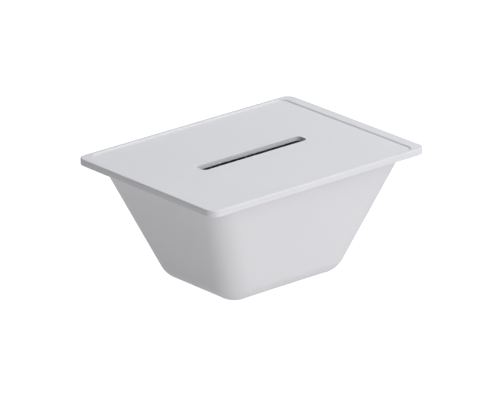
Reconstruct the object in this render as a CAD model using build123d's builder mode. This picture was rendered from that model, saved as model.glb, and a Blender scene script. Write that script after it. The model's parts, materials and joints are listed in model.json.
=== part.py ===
"""Hand-agitated resin wash station: a tapered tub, a slotted drip lid and a lift-out basket.

The origin is at the centre of the plane that the tub's feet stand on. +X runs along the
length, -Y is the front and +Z is up. All sizes are in millimetres.
"""

import os
from math import atan2, cos, tan

from build123d import *

# Whole object
length = 340.0
depth = 250.0
height = 160.0

# Tub: outside outline at its base and at its mouth, then its walls
base_length = 178.5
base_depth = 139.0
mouth_length = 308.0
mouth_depth = 227.6
tub_corner = 30.0
tub_base_radius = 33.0
tub_wall = 3.0
tub_floor = 3.5

# Lid: a shallow cap whose skirt hides the tub's flange
lid_edge = 8.5
lid_corner = 13.5
lid_rounding = 1.6
lid_lower_rounding = 1.0
skirt_wall = 4.0
end_border = 15.1
side_border = 5.5
recess_drop = 1.6
recess_slope = 1.8
recess_corner = 12.0
recess_edge_blend = 1.4
recess_base_blend = 2.0
panel_thickness = 3.0
slot_length = 164.5
slot_width = 17.3
slot_corner = 6.0
slot_wall_depth = 5.6
slot_rounding = 1.2
collar_wall = 2.5
rib_thickness = 2.0
rib_pitch = 62.0
rib_count = 4

# Flange and the seal that lies on it
flange_thickness = 3.0
flange_gap = 0.6
seal_thickness = 2.4
seal_groove = 1.0
seal_end_width = 7.0
seal_side_width = 5.0
seal_end_inset = 7.5
seal_side_inset = 7.0
seal_corner = 9.0

# Feet under the tub
foot_drop = 2.5
foot_radius = 7.5
foot_socket = 1.5
foot_rounding = 0.8
foot_spacing_x = 104.0
foot_spacing_y = 60.0

# Basket of perforated sheet, standing on the tub's floor
basket_gap = 7.0
basket_sheet = 1.5
basket_stand = 6.0
basket_top = 129.0
basket_base_radius = 24.0
perforation_width = 6.0
perforation_height = 26.0
perforation_pitch = 14.0
floor_hole_radius = 3.5
floor_holes_along = 6
floor_holes_across = 3
rim_wire_radius = 2.5
bumper_radius = 5.0
bumper_rounding = 1.25
bumper_stem_radius = 2.2
bumper_head_radius = 3.5
bumper_spacing_x = 92.0
bumper_spacing_y = 52.0

# Rows of perforations, each as (level, number along the front, number along the end)
perforation_rows = ((44.0, 7, 4), (76.0, 9, 6), (108.0, 13, 9))

# Bails: two folding handles that pivot on brackets at the basket's ends
pivot_height = 138.0
pivot_offset = 10.0
bail_reach = 76.0
bail_wire_radius = 2.5
bail_bend_radius = 20.0
eye_radius = 5.5
eye_thickness = 5.0
pin_radius = 2.0
pin_running_gap = 0.05
pin_head_radius = 4.0
pin_head_thickness = 1.5
pin_head_rounding = 0.5
bracket_thickness = 2.0
bracket_width = 38.0
bracket_leg = 20.0
side_play = 0.3
grip_radius = 6.5
grip_length = 110.0
grip_rounding = 2.2

# Levels and sizes worked out from those above
lid_bottom = height - lid_edge
panel_top = height - recess_drop
lid_underside = panel_top - panel_thickness
tub_floor_top = foot_drop + tub_floor
flange_top = lid_underside - seal_thickness + seal_groove
flange_bottom = flange_top - flange_thickness
flange_length = length - 2 * (skirt_wall + flange_gap)
flange_depth = depth - 2 * (skirt_wall + flange_gap)
flange_corner = lid_corner - skirt_wall - flange_gap
seal_length = flange_length - 2 * seal_end_inset
seal_depth = flange_depth - 2 * seal_side_inset
basket_bottom = tub_floor_top + basket_stand
basket_inset = tub_wall + basket_gap
taper_height = lid_bottom - foot_drop
end_taper = atan2((mouth_length - base_length) / 2, taper_height)
side_taper = atan2((mouth_depth - base_depth) / 2, taper_height)


def outline(level, inset):
    """Length and depth of the tub's outside at a level, less an inset square to its walls."""
    rise = (level - foot_drop) / taper_height
    return (
        base_length + (mouth_length - base_length) * rise - 2 * inset / cos(end_taper),
        base_depth + (mouth_depth - base_depth) * rise - 2 * inset / cos(side_taper),
    )


def tapered_block(low, high, inset, base_radius):
    """A solid that follows the tub's taper, with rounded upright corners and a rounded base."""
    with BuildPart() as block:
        for level in (low, high):
            with BuildSketch(Plane.XY.offset(level)):
                RectangleRounded(*outline(level, inset), tub_corner - inset)
        loft(ruled=True)
        fillet(block.faces().sort_by(Axis.Z)[0].edges(), base_radius)
    return block.part


def seal_ring(level):
    """The flat ring that the lid's seal covers, at a level."""
    with BuildSketch(Plane.XY.offset(level)) as ring:
        RectangleRounded(seal_length, seal_depth, seal_corner)
        RectangleRounded(
            seal_length - 2 * seal_end_width,
            seal_depth - 2 * seal_side_width,
            seal_corner - seal_side_width,
            mode=Mode.SUBTRACT,
        )
    return ring.sketch


def write(piece, name):
    """Label a finished piece and write it as a STEP file of that name."""
    piece.label = name
    export_step(piece, f"parts/{name}.step")


os.makedirs("parts", exist_ok=True)

# Tub: one moulding, with a flange round its mouth and sockets for its feet
tub_outside = tapered_block(foot_drop, flange_top, 0, tub_base_radius)
tub_inside = tapered_block(tub_floor_top, height, tub_wall, tub_base_radius - tub_wall)

with BuildPart() as tub:
    add(tub_outside)
    with BuildSketch(Plane.XY.offset(flange_bottom)):
        RectangleRounded(flange_length, flange_depth, flange_corner)
    extrude(amount=flange_thickness)
    add(tub_inside, mode=Mode.SUBTRACT)
    with BuildSketch(Plane.XY.offset(foot_drop)):
        with GridLocations(foot_spacing_x, foot_spacing_y, 2, 2):
            Circle(foot_radius)
    extrude(amount=foot_socket, mode=Mode.SUBTRACT)
write(tub.part, "tub")

# Four rubber feet, pressed into the tub's sockets
corners = (("front_left", -1, -1), ("front_right", 1, -1), ("rear_left", -1, 1), ("rear_right", 1, 1))
for place, side_x, side_y in corners:
    with BuildPart() as foot:
        with BuildSketch(Plane((side_x * foot_spacing_x / 2, side_y * foot_spacing_y / 2, 0))):
            Circle(foot_radius)
        extrude(amount=foot_drop + foot_socket)
        fillet(foot.edges().sort_by(Axis.Z)[0], foot_rounding)
    write(foot.part, f"foot_{place}")

# Lid: a cap with a raised border, a recessed panel, a slot with a collar, and ribs beneath
recess_length = length - 2 * end_border
recess_depth = depth - 2 * side_border
collar_bottom = panel_top - slot_wall_depth
rib_span = outline(flange_bottom, tub_wall)[1] - 2 * seal_side_width

with BuildPart() as lid:
    with BuildSketch(Plane.XY.offset(lid_bottom)):
        RectangleRounded(length, depth, lid_corner)
    extrude(amount=lid_edge)
    fillet(lid.faces().sort_by(Axis.Z)[-1].edges(), lid_rounding)
    fillet(lid.faces().sort_by(Axis.Z)[0].edges(), lid_lower_rounding)
    with BuildSketch(Plane.XY.offset(lid_bottom)):
        RectangleRounded(length - 2 * skirt_wall, depth - 2 * skirt_wall, lid_corner - skirt_wall)
    extrude(amount=lid_underside - lid_bottom, mode=Mode.SUBTRACT)
    with BuildSketch(Plane.XY.offset(panel_top)):
        RectangleRounded(
            recess_length - 2 * recess_slope,
            recess_depth - 2 * recess_slope,
            recess_corner - recess_slope,
        )
    with BuildSketch(Plane.XY.offset(height)):
        RectangleRounded(recess_length, recess_depth, recess_corner)
    loft(ruled=True, mode=Mode.SUBTRACT)
    fillet(lid.faces().sort_by(Axis.Z)[-1].inner_wires()[0].edges(), recess_edge_blend)
    panel = lid.faces().filter_by(Plane.XY).group_by(SortBy.AREA)[-1].sort_by(Axis.Z)[-1]
    fillet(panel.outer_wire().edges(), recess_base_blend)
    with BuildSketch(Plane.XY.offset(lid_underside)):
        with GridLocations(rib_pitch, 0, rib_count, 1):
            Rectangle(rib_thickness, rib_span)
        RectangleRounded(
            slot_length + 2 * collar_wall,
            slot_width + 2 * collar_wall,
            slot_corner + collar_wall,
        )
    extrude(amount=collar_bottom - lid_underside)
    with BuildSketch(Plane.XY.offset(collar_bottom)):
        RectangleRounded(slot_length, slot_width, slot_corner)
    extrude(amount=slot_wall_depth, mode=Mode.SUBTRACT)
    panel = lid.faces().filter_by(Plane.XY).group_by(SortBy.AREA)[-1].sort_by(Axis.Z)[-1]
    fillet(panel.inner_wires()[0].edges(), slot_rounding)
    extrude(seal_ring(lid_underside), amount=seal_groove, mode=Mode.SUBTRACT)
write(lid.part, "lid")

# Lid seal: a flat ring seated in the lid's groove, which closes on the tub's flange
with BuildPart() as lid_seal:
    extrude(seal_ring(flange_top), amount=seal_thickness)
write(lid_seal.part, "lid_seal")

# Basket: a pressed tray of perforated sheet
basket_outside = tapered_block(basket_bottom, basket_top, basket_inset, basket_base_radius)
basket_inside = tapered_block(
    basket_bottom + basket_sheet,
    height,
    basket_inset + basket_sheet,
    basket_base_radius - basket_sheet,
)
bumper_places = [
    (side_x * bumper_spacing_x / 2, side_y * bumper_spacing_y / 2) for _, side_x, side_y in corners
]

with BuildPart() as basket:
    add(basket_outside)
    add(basket_inside, mode=Mode.SUBTRACT)
    for level, front_count, end_count in perforation_rows:
        with BuildSketch(Plane.XZ):
            with Locations((0, level)):
                with GridLocations(perforation_pitch, 0, front_count, 1):
                    SlotOverall(perforation_height, perforation_width, rotation=90)
        extrude(amount=depth, both=True, mode=Mode.SUBTRACT)
        with BuildSketch(Plane.YZ):
            with Locations((0, level)):
                with GridLocations(perforation_pitch, 0, end_count, 1):
                    SlotOverall(perforation_height, perforation_width, rotation=90)
        extrude(amount=length, both=True, mode=Mode.SUBTRACT)
    with BuildSketch(Plane.XY.offset(basket_bottom)):
        with GridLocations(perforation_pitch, perforation_pitch, floor_holes_along, floor_holes_across):
            Circle(floor_hole_radius)
        with Locations(*bumper_places):
            Circle(bumper_stem_radius)
    extrude(amount=basket_sheet, mode=Mode.SUBTRACT)
write(basket.part, "basket")

# Rim: a wire ring round the outside of the basket's top edge
with BuildPart() as basket_rim:
    with BuildSketch(Plane.XY.offset(basket_top), mode=Mode.PRIVATE) as rim_line:
        rim_inset = basket_inset - rim_wire_radius
        RectangleRounded(*outline(basket_top, rim_inset), tub_corner - rim_inset)
    rim_path = rim_line.sketch.face().outer_wire()
    with BuildSketch(Plane(rim_path @ 0, z_dir=rim_path % 0)):
        Circle(rim_wire_radius)
    sweep(path=rim_path)
write(basket_rim.part, "basket_rim")

# Four silicone bumpers that the basket stands on, each with a stem through its floor
for (place, _, _), (bumper_x, bumper_y) in zip(corners, bumper_places):
    with BuildPart() as bumper:
        with BuildSketch(Plane((bumper_x, bumper_y, tub_floor_top))):
            Circle(bumper_radius)
        extrude(amount=basket_stand)
        fillet(bumper.edges().sort_by(Axis.Z)[0], bumper_rounding)
        with BuildSketch(Plane((bumper_x, bumper_y, basket_bottom))):
            Circle(bumper_stem_radius)
        extrude(amount=basket_sheet)
        with BuildSketch(Plane((bumper_x, bumper_y, basket_bottom + basket_sheet))):
            Circle(bumper_head_radius)
        extrude(amount=basket_sheet)
    write(bumper.part, f"basket_bumper_{place}")

# Brackets: a plate at each end of the basket, bent to lie along the sloping wall
bracket_low = basket_top - bracket_leg
bracket_high = pivot_height + eye_radius
wall_foot = outline(bracket_low, basket_inset + basket_sheet)[0] / 2
wall_head = outline(basket_top, basket_inset + basket_sheet)[0] / 2
bracket_face = outline(basket_top, basket_inset)[0] / 2
bracket_back = bracket_face - bracket_thickness
leg_back = bracket_thickness / cos(end_taper)
bend_level = basket_top + (bracket_back - wall_head + leg_back) / tan(end_taper)
eye_start = bracket_face + side_play
eye_middle = eye_start + eye_thickness / 2
pin_end = eye_start + eye_thickness + side_play

for side, sign in (("left", -1), ("right", 1)):
    with BuildPart() as bracket:
        with BuildSketch(Plane.XZ):
            with BuildLine():
                Polyline(
                    (sign * wall_foot, bracket_low),
                    (sign * wall_head, basket_top),
                    (sign * bracket_face, basket_top),
                    (sign * bracket_face, bracket_high),
                    (sign * bracket_back, bracket_high),
                    (sign * bracket_back, bend_level),
                    (sign * (wall_foot - leg_back), bracket_low),
                    close=True,
                )
            make_face()
        extrude(amount=bracket_width / 2, both=True)
        fillet(bracket.faces().sort_by(Axis.Z)[-1].edges().filter_by(Axis.X), eye_radius)
        with BuildSketch(Plane.YZ):
            with Locations((-pivot_offset, pivot_height), (pivot_offset, pivot_height)):
                Circle(pin_radius)
        extrude(amount=sign * length / 2, mode=Mode.SUBTRACT)
    write(bracket.part, f"bail_bracket_{side}")

# Four shouldered rivets, each through a bracket and one bail's eye
for place, side_x, side_y in corners:
    with BuildPart() as pin:
        for start, end, radius in (
            (bracket_back - pin_head_thickness, bracket_back, pin_head_radius),
            (bracket_back, pin_end, pin_radius),
            (pin_end, pin_end + pin_head_thickness, pin_head_radius),
        ):
            with BuildSketch(Plane.YZ.offset(side_x * start)):
                with Locations((side_y * pivot_offset, pivot_height)):
                    Circle(radius)
            extrude(amount=side_x * (end - start))
        head_edges = pin.edges().filter_by(GeomType.CIRCLE).sort_by(Axis.X)
        fillet((head_edges[0], head_edges[-1]), pin_head_rounding)
    write(pin.part, f"pivot_pin_{place}")

# Bails and their grips, folded flat above the rim: the front one and the rear one
for place, side_y in (("front", -1), ("rear", 1)):
    bar_y = side_y * (pivot_offset + bail_reach)
    leg_start = side_y * (pivot_offset + pin_radius + pin_running_gap + bail_wire_radius / 2)
    with BuildPart() as bail:
        with BuildLine() as bail_path:
            FilletPolyline(
                (-eye_middle, leg_start, pivot_height),
                (-eye_middle, bar_y, pivot_height),
                (eye_middle, bar_y, pivot_height),
                (eye_middle, leg_start, pivot_height),
                radius=bail_bend_radius,
            )
        with BuildSketch(Plane(bail_path.line @ 0, z_dir=bail_path.line % 0)):
            Circle(bail_wire_radius)
        sweep(path=bail_path.line)
        for sign in (-1, 1):
            with BuildSketch(Plane.YZ.offset(sign * eye_start)):
                with Locations((side_y * pivot_offset, pivot_height)):
                    Circle(eye_radius)
            extrude(amount=sign * eye_thickness)
            with BuildSketch(Plane.YZ.offset(sign * eye_start)):
                with Locations((side_y * pivot_offset, pivot_height)):
                    Circle(pin_radius + pin_running_gap)
            extrude(amount=sign * eye_thickness, mode=Mode.SUBTRACT)
    write(bail.part, f"bail_{place}")

    with BuildPart() as grip:
        with BuildSketch(Plane.YZ):
            with Locations((bar_y, pivot_height)):
                Circle(grip_radius)
        extrude(amount=grip_length / 2, both=True)
        fillet(grip.edges().filter_by(GeomType.CIRCLE), grip_rounding)
        with BuildSketch(Plane.YZ):
            with Locations((bar_y, pivot_height)):
                Circle(bail_wire_radius)
        extrude(amount=grip_length / 2, both=True, mode=Mode.SUBTRACT)
    write(grip.part, f"bail_grip_{place}")
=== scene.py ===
import json
import math

import bmesh
import bpy
from mathutils import Matrix, Vector


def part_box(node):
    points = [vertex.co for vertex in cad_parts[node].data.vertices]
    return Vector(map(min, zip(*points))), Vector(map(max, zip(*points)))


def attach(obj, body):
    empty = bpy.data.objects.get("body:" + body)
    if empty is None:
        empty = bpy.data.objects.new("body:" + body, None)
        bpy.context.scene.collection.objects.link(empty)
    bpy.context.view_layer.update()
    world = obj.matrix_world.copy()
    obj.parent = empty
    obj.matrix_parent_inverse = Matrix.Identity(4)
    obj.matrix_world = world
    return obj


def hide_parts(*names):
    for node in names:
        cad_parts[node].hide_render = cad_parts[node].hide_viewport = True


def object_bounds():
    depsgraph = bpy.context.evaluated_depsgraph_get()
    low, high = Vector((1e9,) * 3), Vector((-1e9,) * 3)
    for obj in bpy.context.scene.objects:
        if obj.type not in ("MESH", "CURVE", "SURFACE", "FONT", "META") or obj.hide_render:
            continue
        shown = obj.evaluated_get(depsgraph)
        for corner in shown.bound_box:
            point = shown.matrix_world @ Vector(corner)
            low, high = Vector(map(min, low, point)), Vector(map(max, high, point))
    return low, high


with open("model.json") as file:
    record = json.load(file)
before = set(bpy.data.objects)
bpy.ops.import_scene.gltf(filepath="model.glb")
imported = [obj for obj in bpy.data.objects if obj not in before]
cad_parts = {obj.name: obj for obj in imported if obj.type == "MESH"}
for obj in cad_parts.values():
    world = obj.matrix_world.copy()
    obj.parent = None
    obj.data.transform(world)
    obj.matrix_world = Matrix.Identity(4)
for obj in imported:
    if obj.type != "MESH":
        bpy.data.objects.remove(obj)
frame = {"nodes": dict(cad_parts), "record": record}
cad_low, cad_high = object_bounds()
centre = (cad_low + cad_high) / 2
scene = bpy.context.scene
scene.view_settings.view_transform = "Standard"

# Camera: far away with a long lens, to the left of the long front and a little above
VIEW_AZIMUTH = math.radians(-41.20)
VIEW_ELEVATION = math.radians(20.62)
CAMERA_DISTANCE = 6.63
LENS_MM = 397.3
CAMERA_REACH = 50
AIM_RIGHT = -0.0023
AIM_UP = 0.0171

# Studio: soft boxes around the object, as (azimuth from +X, elevation, watts, colour), with angles
# in degrees. The floor glows a little, which lights the undersides.
SOFTBOX_DISTANCE = 3.0
SOFTBOX_SIZE = 1.6
SOFTBOXES = {
    "right_high": (0, 62, 22.1, (0.982, 1.003, 1.016)),
    "right_rear": (45, 35, 14.3, (0.976, 1.0, 1.024)),
    "rear": (90, 35, 11.8, (0.989, 1.0, 1.011)),
    "left_front": (225, 35, 10.5, (0.994, 0.995, 1.011)),
    "front_low": (270, 20, 24.4, (1.010, 0.995, 0.995)),
    "front": (270, 35, 10.9, (0.999, 0.998, 1.003)),
    "right_front": (315, 50, 28.1, (0.985, 0.999, 1.016)),
}
NO_GLARE = ("front_low", "front")  # from behind, the lid would show only these two's glare
FLOOR_HALF_WIDTH = 6.0
FLOOR_ROUGHNESS = 0.9
FLOOR_GREY = (0.5, 0.5, 0.5)
FLOOR_GLOW = (0.344, 0.333, 0.333)
FLOOR_SHOWN = (0.9, 0.9, 0.9)

# Colours, as linear RGB
WHITE_PLASTIC = (0.80, 0.80, 0.825)
GREY_SILICONE = (0.30, 0.31, 0.33)
BLACK_RUBBER = (0.045, 0.045, 0.05)
DARK_GRIP = (0.09, 0.094, 0.10)
STAINLESS = (0.52, 0.52, 0.53)
DUST = (0.55, 0.54, 0.52)

# Material details
BEVEL_SAMPLES = 6
EDGE_SHARPNESS = 0.93
RIVET_RING_SCALE = 900
RIVET_RING_WOBBLE = 0.4

# Ribbed grips and treaded feet, in metres and degrees
LATHE_STEPS = 48
GRIP_BORE = 0.0025
GRIP_ROUNDING = 0.0022
GRIP_COLLAR = 0.006
GRIP_RIBS = 20
GRIP_RIB_DEPTH = 0.0008
GRIP_STEPS = 200
FOOT_ROUNDING = 0.0008
FOOT_RINGS = 4
FOOT_TREAD_DEPTH = 0.0005
FOOT_STEPS = 32
FOOT_EDGE_TURNS = (30, 60, 90)


def add_camera():
    """The camera looks at a point just above the middle of the object."""
    back = Vector((
        math.sin(VIEW_AZIMUTH) * math.cos(VIEW_ELEVATION),
        -math.cos(VIEW_AZIMUTH) * math.cos(VIEW_ELEVATION),
        math.sin(VIEW_ELEVATION),
    ))
    right = Vector((math.cos(VIEW_AZIMUTH), math.sin(VIEW_AZIMUTH), 0))
    up = back.cross(right)
    data = bpy.data.cameras.new("camera")
    data.lens = LENS_MM
    data.clip_end = CAMERA_REACH
    camera = bpy.data.objects.new("camera", data)
    axes = Matrix((right, up, back)).transposed().to_4x4()
    aim = centre + right * AIM_RIGHT + up * AIM_UP
    camera.matrix_world = Matrix.Translation(aim + back * CAMERA_DISTANCE) @ axes
    scene.collection.objects.link(camera)
    scene.camera = camera


def add_studio():
    """Soft boxes, and a background that shows white to the camera and lights nothing."""
    for name, (azimuth, elevation, watts, colour) in SOFTBOXES.items():
        turn, lift = math.radians(azimuth), math.radians(elevation)
        outwards = Vector((
            math.cos(turn) * math.cos(lift),
            math.sin(turn) * math.cos(lift),
            math.sin(lift),
        ))
        data = bpy.data.lights.new(name, "AREA")
        data.size = SOFTBOX_SIZE
        data.energy = watts
        data.color = colour
        light = bpy.data.objects.new(name, data)
        light.location = centre + outwards * SOFTBOX_DISTANCE
        light.rotation_euler = (-outwards).to_track_quat("-Z", "Y").to_euler()
        light.visible_camera = False
        light.visible_glossy = name not in NO_GLARE
        scene.collection.objects.link(light)

    world = bpy.data.worlds.new("studio")
    world.use_nodes = True
    nodes, links = world.node_tree.nodes, world.node_tree.links
    background = nodes["Background"]
    path = nodes.new("ShaderNodeLightPath")
    links.new(path.outputs["Is Camera Ray"], background.inputs["Strength"])
    background.inputs["Color"].default_value = (1, 1, 1, 1)
    scene.world = world


class Finish:
    """A node material being built up. Sizes and depths are in metres."""

    def __init__(self, name, metallic=0.0):
        self.material = bpy.data.materials.new(name)
        self.material.use_nodes = True
        self.nodes = self.material.node_tree.nodes
        self.links = self.material.node_tree.links
        self.shader = self.nodes["Principled BSDF"]
        self.shader.inputs["Metallic"].default_value = metallic
        self.place = self.nodes.new("ShaderNodeTexCoord").outputs["Object"]
        self.relief = None

    def noise(self, size, detail=2.0, stretch=(1, 1, 1)):
        """Noise from 0 to 1, its features about as big as size, stretched along the axes."""
        shape = self.nodes.new("ShaderNodeMapping")
        shape.inputs["Scale"].default_value = [1 / factor for factor in stretch]
        texture = self.nodes.new("ShaderNodeTexNoise")
        texture.inputs["Scale"].default_value = 1 / size
        texture.inputs["Detail"].default_value = detail
        self.links.new(self.place, shape.inputs["Vector"])
        self.links.new(shape.outputs["Vector"], texture.inputs["Vector"])
        return texture.outputs["Fac"]

    def span(self, value, start, end, low=0.0, high=1.0):
        """The value's range from start to end, turned into low to high and held there."""
        node = self.nodes.new("ShaderNodeMapRange")
        for socket, number in zip(("From Min", "From Max", "To Min", "To Max"), (start, end, low, high)):
            node.inputs[socket].default_value = number
        self.links.new(value, node.inputs["Value"])
        return node.outputs["Result"]

    def faded(self, mask, strength):
        """A mask from 0 to 1, made weaker."""
        return self.span(mask, 0, 1, high=strength)

    def times(self, first, second):
        """Two values multiplied."""
        node = self.nodes.new("ShaderNodeMath")
        node.operation = "MULTIPLY"
        self.links.new(first, node.inputs[0])
        self.links.new(second, node.inputs[1])
        return node.outputs["Value"]

    def edges(self, radius):
        """1 on edges and corners, 0 on open surfaces."""
        bevel = self.nodes.new("ShaderNodeBevel")
        bevel.samples = BEVEL_SAMPLES
        bevel.inputs["Radius"].default_value = radius
        flat = self.nodes.new("ShaderNodeNewGeometry")
        turn = self.nodes.new("ShaderNodeVectorMath")
        turn.operation = "DOT_PRODUCT"
        self.links.new(bevel.outputs["Normal"], turn.inputs[0])
        self.links.new(flat.outputs["Normal"], turn.inputs[1])
        return self.span(turn.outputs["Value"], EDGE_SHARPNESS, 1.0, low=1.0, high=0.0)

    def blend(self, mask, first, second):
        """A colour between two, each a colour or an earlier result."""
        node = self.nodes.new("ShaderNodeMixRGB")
        self.links.new(mask, node.inputs["Fac"])
        for socket, colour in (("Color1", first), ("Color2", second)):
            if isinstance(colour, tuple):
                node.inputs[socket].default_value = (*colour, 1)
            else:
                self.links.new(colour, node.inputs[socket])
        return node.outputs["Color"]

    def raised(self, height, depth):
        """Adds relief: height from 0 to 1, over a depth."""
        bump = self.nodes.new("ShaderNodeBump")
        bump.inputs["Distance"].default_value = depth
        self.links.new(height, bump.inputs["Height"])
        if self.relief:
            self.links.new(self.relief, bump.inputs["Normal"])
        self.relief = bump.outputs["Normal"]

    def finished(self, colour, patches, smoothest, roughest):
        """The material, its roughness going from smoothest to roughest across the patches."""
        roughness = self.span(patches, 0.3, 0.7, low=smoothest, high=roughest)
        self.links.new(colour, self.shader.inputs["Base Color"])
        self.links.new(roughness, self.shader.inputs["Roughness"])
        self.links.new(self.relief, self.shader.inputs["Normal"])
        return self.material


def shade(colour, factor):
    """A colour made lighter or darker."""
    return tuple(channel * factor for channel in colour)


def moulded_plastic(name):
    """Satin polypropylene: faint mottling, fine spark-eroded grain, and scuffed edges painted paler,
    partly as rubbed wear and partly as a painted highlight.
    """
    finish = Finish(name)
    flow = finish.noise(size=0.09, detail=3.0)
    grain = finish.noise(size=0.0007)
    scuffs = finish.noise(size=0.012, detail=4.0)
    # Scuffed edges are lightened: partly rubbed wear, partly a painted highlight along the edges.
    worn_and_highlit_edges = finish.times(finish.edges(radius=0.0016), finish.span(scuffs, 0.3, 0.5))
    mottled = finish.blend(flow, shade(WHITE_PLASTIC, 0.985), shade(WHITE_PLASTIC, 1.015))
    speckled = finish.blend(finish.span(grain, 0.3, 0.7, high=0.06), mottled, shade(WHITE_PLASTIC, 0.85))
    colour = finish.blend(finish.faded(worn_and_highlit_edges, 0.8), speckled, shade(WHITE_PLASTIC, 1.1))
    finish.raised(grain, depth=0.000006)
    finish.raised(flow, depth=0.00006)
    return finish.finished(colour, patches=scuffs, smoothest=0.36, roughest=0.44)


def silicone(name):
    """Soft grey silicone: slight clouding, a dusty bloom and worn corners."""
    finish = Finish(name)
    cloud = finish.noise(size=0.02, detail=3.0)
    dust = finish.noise(size=0.0012, detail=4.0)
    skin = finish.noise(size=0.0004)
    worn = finish.edges(radius=0.0006)
    cloudy = finish.blend(cloud, shade(GREY_SILICONE, 0.9), shade(GREY_SILICONE, 1.12))
    dusty = finish.blend(finish.span(dust, 0.56, 0.72, high=0.35), cloudy, DUST)
    colour = finish.blend(finish.faded(worn, 0.3), dusty, shade(GREY_SILICONE, 1.5))
    finish.shader.inputs["Sheen Weight"].default_value = 0.15
    finish.raised(skin, depth=0.00001)
    return finish.finished(colour, patches=cloud, smoothest=0.5, roughest=0.62)


def rubber(name, base, grain_size, grain_depth):
    """Moulded rubber: grained, scuffed grey along its edges, with dust in the grain."""
    finish = Finish(name)
    cloud = finish.noise(size=0.015, detail=3.0)
    grain = finish.noise(size=grain_size, detail=3.0)
    scuffs = finish.noise(size=0.004, detail=5.0)
    worn = finish.times(finish.edges(radius=0.0005), finish.span(scuffs, 0.4, 0.6))
    cloudy = finish.blend(cloud, shade(base, 0.8), shade(base, 1.25))
    dusty = finish.blend(finish.span(grain, 0.55, 0.75, high=0.18), cloudy, DUST)
    colour = finish.blend(finish.faded(worn, 0.25), dusty, DUST)
    finish.raised(grain, grain_depth)
    return finish.finished(colour, patches=scuffs, smoothest=0.6, roughest=0.8)


def sheet_steel(name):
    """Stainless sheet: brushed both round the walls and along the floor, with dried water marks."""
    finish = Finish(name, metallic=1.0)
    round_walls = finish.noise(size=0.0004, detail=2.0, stretch=(60, 60, 1))
    along_floor = finish.noise(size=0.0004, detail=2.0, stretch=(60, 1, 60))
    brushing = finish.times(round_walls, along_floor)
    marks = finish.noise(size=0.018, detail=5.0)
    worn = finish.edges(radius=0.0006)
    dark, bright = shade(STAINLESS, 0.86), shade(STAINLESS, 1.1)
    brushed = finish.blend(finish.span(brushing, 0.1, 0.4), dark, bright)
    marked = finish.blend(finish.span(marks, 0.55, 0.68, high=0.3), brushed, shade(STAINLESS, 0.72))
    colour = finish.blend(finish.faded(worn, 0.5), marked, shade(STAINLESS, 1.3))
    finish.shader.inputs["Anisotropic"].default_value = 0.4
    finish.raised(brushing, depth=0.000008)
    return finish.finished(colour, patches=marks, smoothest=0.27, roughest=0.42)


def drawn_wire(name):
    """Electropolished wire: bright, with faint draw marks and handling smudges."""
    finish = Finish(name, metallic=1.0)
    draw = finish.noise(size=0.0003, detail=2.0, stretch=(30, 1, 1))
    smudge = finish.noise(size=0.01, detail=4.0)
    worn = finish.edges(radius=0.0005)
    drawn = finish.blend(draw, STAINLESS, shade(STAINLESS, 1.12))
    smudged = finish.blend(finish.span(smudge, 0.52, 0.7, high=0.25), drawn, shade(STAINLESS, 0.75))
    colour = finish.blend(finish.faded(worn, 0.3), smudged, shade(STAINLESS, 1.35))
    finish.raised(draw, depth=0.000002)
    return finish.finished(colour, patches=smudge, smoothest=0.18, roughest=0.34)


def turned_rivet(name):
    """Turned rivets: rings cut round each rivet's own axis, with darker, dirty corners."""
    finish = Finish(name, metallic=1.0)
    low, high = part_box("pivot_pin_rear_right")
    axis_y, axis_z = (low.y + high.y) / 2, (low.z + high.z) / 2
    folded = finish.nodes.new("ShaderNodeVectorMath")
    folded.operation = "ABSOLUTE"
    finish.links.new(finish.place, folded.inputs[0])
    shifted = finish.nodes.new("ShaderNodeVectorMath")
    shifted.operation = "SUBTRACT"
    shifted.inputs[1].default_value = (0, axis_y, axis_z)
    finish.links.new(folded.outputs["Vector"], shifted.inputs[0])
    rings = finish.nodes.new("ShaderNodeTexWave")
    rings.wave_type = "RINGS"
    rings.rings_direction = "X"
    rings.inputs["Scale"].default_value = RIVET_RING_SCALE
    rings.inputs["Distortion"].default_value = RIVET_RING_WOBBLE
    finish.links.new(shifted.outputs["Vector"], rings.inputs["Vector"])
    cut = rings.outputs["Fac"]
    stain = finish.noise(size=0.003, detail=4.0)
    grime = finish.times(finish.edges(radius=0.0005), finish.span(stain, 0.35, 0.6))
    turned = finish.blend(cut, shade(STAINLESS, 0.9), shade(STAINLESS, 1.1))
    colour = finish.blend(finish.faded(grime, 0.45), turned, shade(STAINLESS, 0.45))
    finish.raised(cut, depth=0.000006)
    return finish.finished(colour, patches=stain, smoothest=0.24, roughest=0.4)


def add_floor():
    """A plain pale floor. It glows a little, and shows white to the camera."""
    signs = ((-1, -1), (1, -1), (1, 1), (-1, 1))
    corners = [(x * FLOOR_HALF_WIDTH, y * FLOOR_HALF_WIDTH, 0) for x, y in signs]
    mesh = bpy.data.meshes.new("floor")
    mesh.from_pydata(corners, [], [(0, 1, 2, 3)])
    floor = bpy.data.objects.new("floor", mesh)
    scene.collection.objects.link(floor)
    finish = Finish("floor_white")
    finish.shader.inputs["Base Color"].default_value = (*FLOOR_GREY, 1)
    finish.shader.inputs["Roughness"].default_value = FLOOR_ROUGHNESS
    path = finish.nodes.new("ShaderNodeLightPath")
    glow = finish.blend(path.outputs["Is Camera Ray"], FLOOR_GLOW, FLOOR_SHOWN)
    finish.links.new(glow, finish.shader.inputs["Emission Color"])
    finish.shader.inputs["Emission Strength"].default_value = 1.0
    mesh.materials.append(finish.material)


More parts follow.
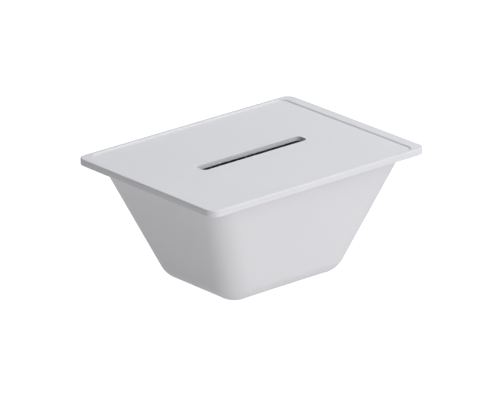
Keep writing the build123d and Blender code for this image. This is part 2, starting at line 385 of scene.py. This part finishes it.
def lathe(name, profile, middle, axis, closed):
    """A profile of (distance along the axis, radius) points, turned about an axis through a point."""
    shape = bmesh.new()
    spoke = axis.orthogonal().normalized()
    turns = [Matrix.Rotation(math.tau * step / LATHE_STEPS, 3, axis) for step in range(LATHE_STEPS)]
    rings = []
    for along, radius in profile:
        ring_turns = turns if radius else turns[:1]
        rings.append([
            shape.verts.new(middle + axis * along + turn @ spoke * radius) for turn in ring_turns
        ])
    pairs = list(zip(rings, rings[1:]))
    if closed:
        pairs.append((rings[-1], rings[0]))
    for first, second in pairs:
        for step in range(LATHE_STEPS):
            after = step + 1
            corners = (
                first[step % len(first)],
                first[after % len(first)],
                second[after % len(second)],
                second[step % len(second)],
            )
            shape.faces.new(dict.fromkeys(corners))
    bmesh.ops.recalc_face_normals(shape, faces=shape.faces)
    mesh = bpy.data.meshes.new(name)
    shape.to_mesh(mesh)
    shape.free()
    mesh.shade_smooth()
    piece = bpy.data.objects.new(name, mesh)
    scene.collection.objects.link(piece)
    return piece


def corner_cut(distance, rounding):
    """How far a rounded corner falls back, at a distance in from the end face."""
    inside = max(rounding - distance, 0)
    return rounding - math.sqrt(rounding ** 2 - inside ** 2)


def wave(turns):
    """0 at whole turns and 1 halfway between them."""
    return (1 - math.cos(math.tau * turns)) / 2


def ribbed_grip(node, body, material):
    """A grip with ribs turned round it between two plain collars."""
    low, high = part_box(node)
    half, radius = (high.x - low.x) / 2, (high.z - low.z) / 2
    ribbed = half - GRIP_COLLAR
    profile = [(-half, GRIP_BORE)]
    for step in range(GRIP_STEPS + 1):
        along = half * (2 * step / GRIP_STEPS - 1)
        groove = 0
        if abs(along) < ribbed:
            groove = GRIP_RIB_DEPTH * wave(GRIP_RIBS * (along + ribbed) / (2 * ribbed))
        profile.append((along, radius - groove - corner_cut(half - abs(along), GRIP_ROUNDING)))
    profile.append((half, GRIP_BORE))
    piece = lathe(f"ribbed_{node}", profile, (low + high) / 2, Vector((1, 0, 0)), closed=True)
    piece.data.materials.append(material)
    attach(piece, body)
    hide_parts(node)


def treaded_foot(node, material):
    """A foot with rings moulded into the face that it stands on."""
    low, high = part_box(node)
    radius, tall = (high.x - low.x) / 2, high.z - low.z
    tread = radius - FOOT_ROUNDING
    profile = []
    for step in range(FOOT_STEPS + 1):
        reach = tread * step / FOOT_STEPS
        profile.append((FOOT_TREAD_DEPTH * wave(FOOT_RINGS * step / FOOT_STEPS), reach))
    for turn in FOOT_EDGE_TURNS:
        angle = math.radians(turn)
        rise, reach = 1 - math.cos(angle), math.sin(angle)
        profile.append((FOOT_ROUNDING * rise, tread + FOOT_ROUNDING * reach))
    profile += [(tall, radius), (tall, 0)]
    middle = Vector(((low.x + high.x) / 2, (low.y + high.y) / 2, low.z))
    piece = lathe(f"treaded_{node}", profile, middle, Vector((0, 0, 1)), closed=False)
    piece.data.materials.append(material)
    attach(piece, "tub")
    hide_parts(node)


add_camera()
add_studio()
add_floor()

materials = {
    "tub_plastic": moulded_plastic("tub_plastic"),
    "lid_plastic": moulded_plastic("lid_plastic"),
    "seal_silicone": silicone("seal_silicone"),
    "foot_rubber": rubber("foot_rubber", BLACK_RUBBER, grain_size=0.0008, grain_depth=0.00003),
    "steel": sheet_steel("steel"),
    "steel_wire": drawn_wire("steel_wire"),
    "steel_pin": turned_rivet("steel_pin"),
    "grip_rubber": rubber("grip_rubber", DARK_GRIP, grain_size=0.0005, grain_depth=0.00002),
}
for subpart in frame["record"]["subparts"]:
    node = frame["nodes"][subpart["node"]]
    node.data.materials.clear()
    node.data.materials.append(materials[subpart["material_slot"]])

for end in ("front", "rear"):
    ribbed_grip(f"bail_grip_{end}", f"{end}_bail", materials["grip_rubber"])
    for side in ("left", "right"):
        treaded_foot(f"foot_{end}_{side}", materials["foot_rubber"])
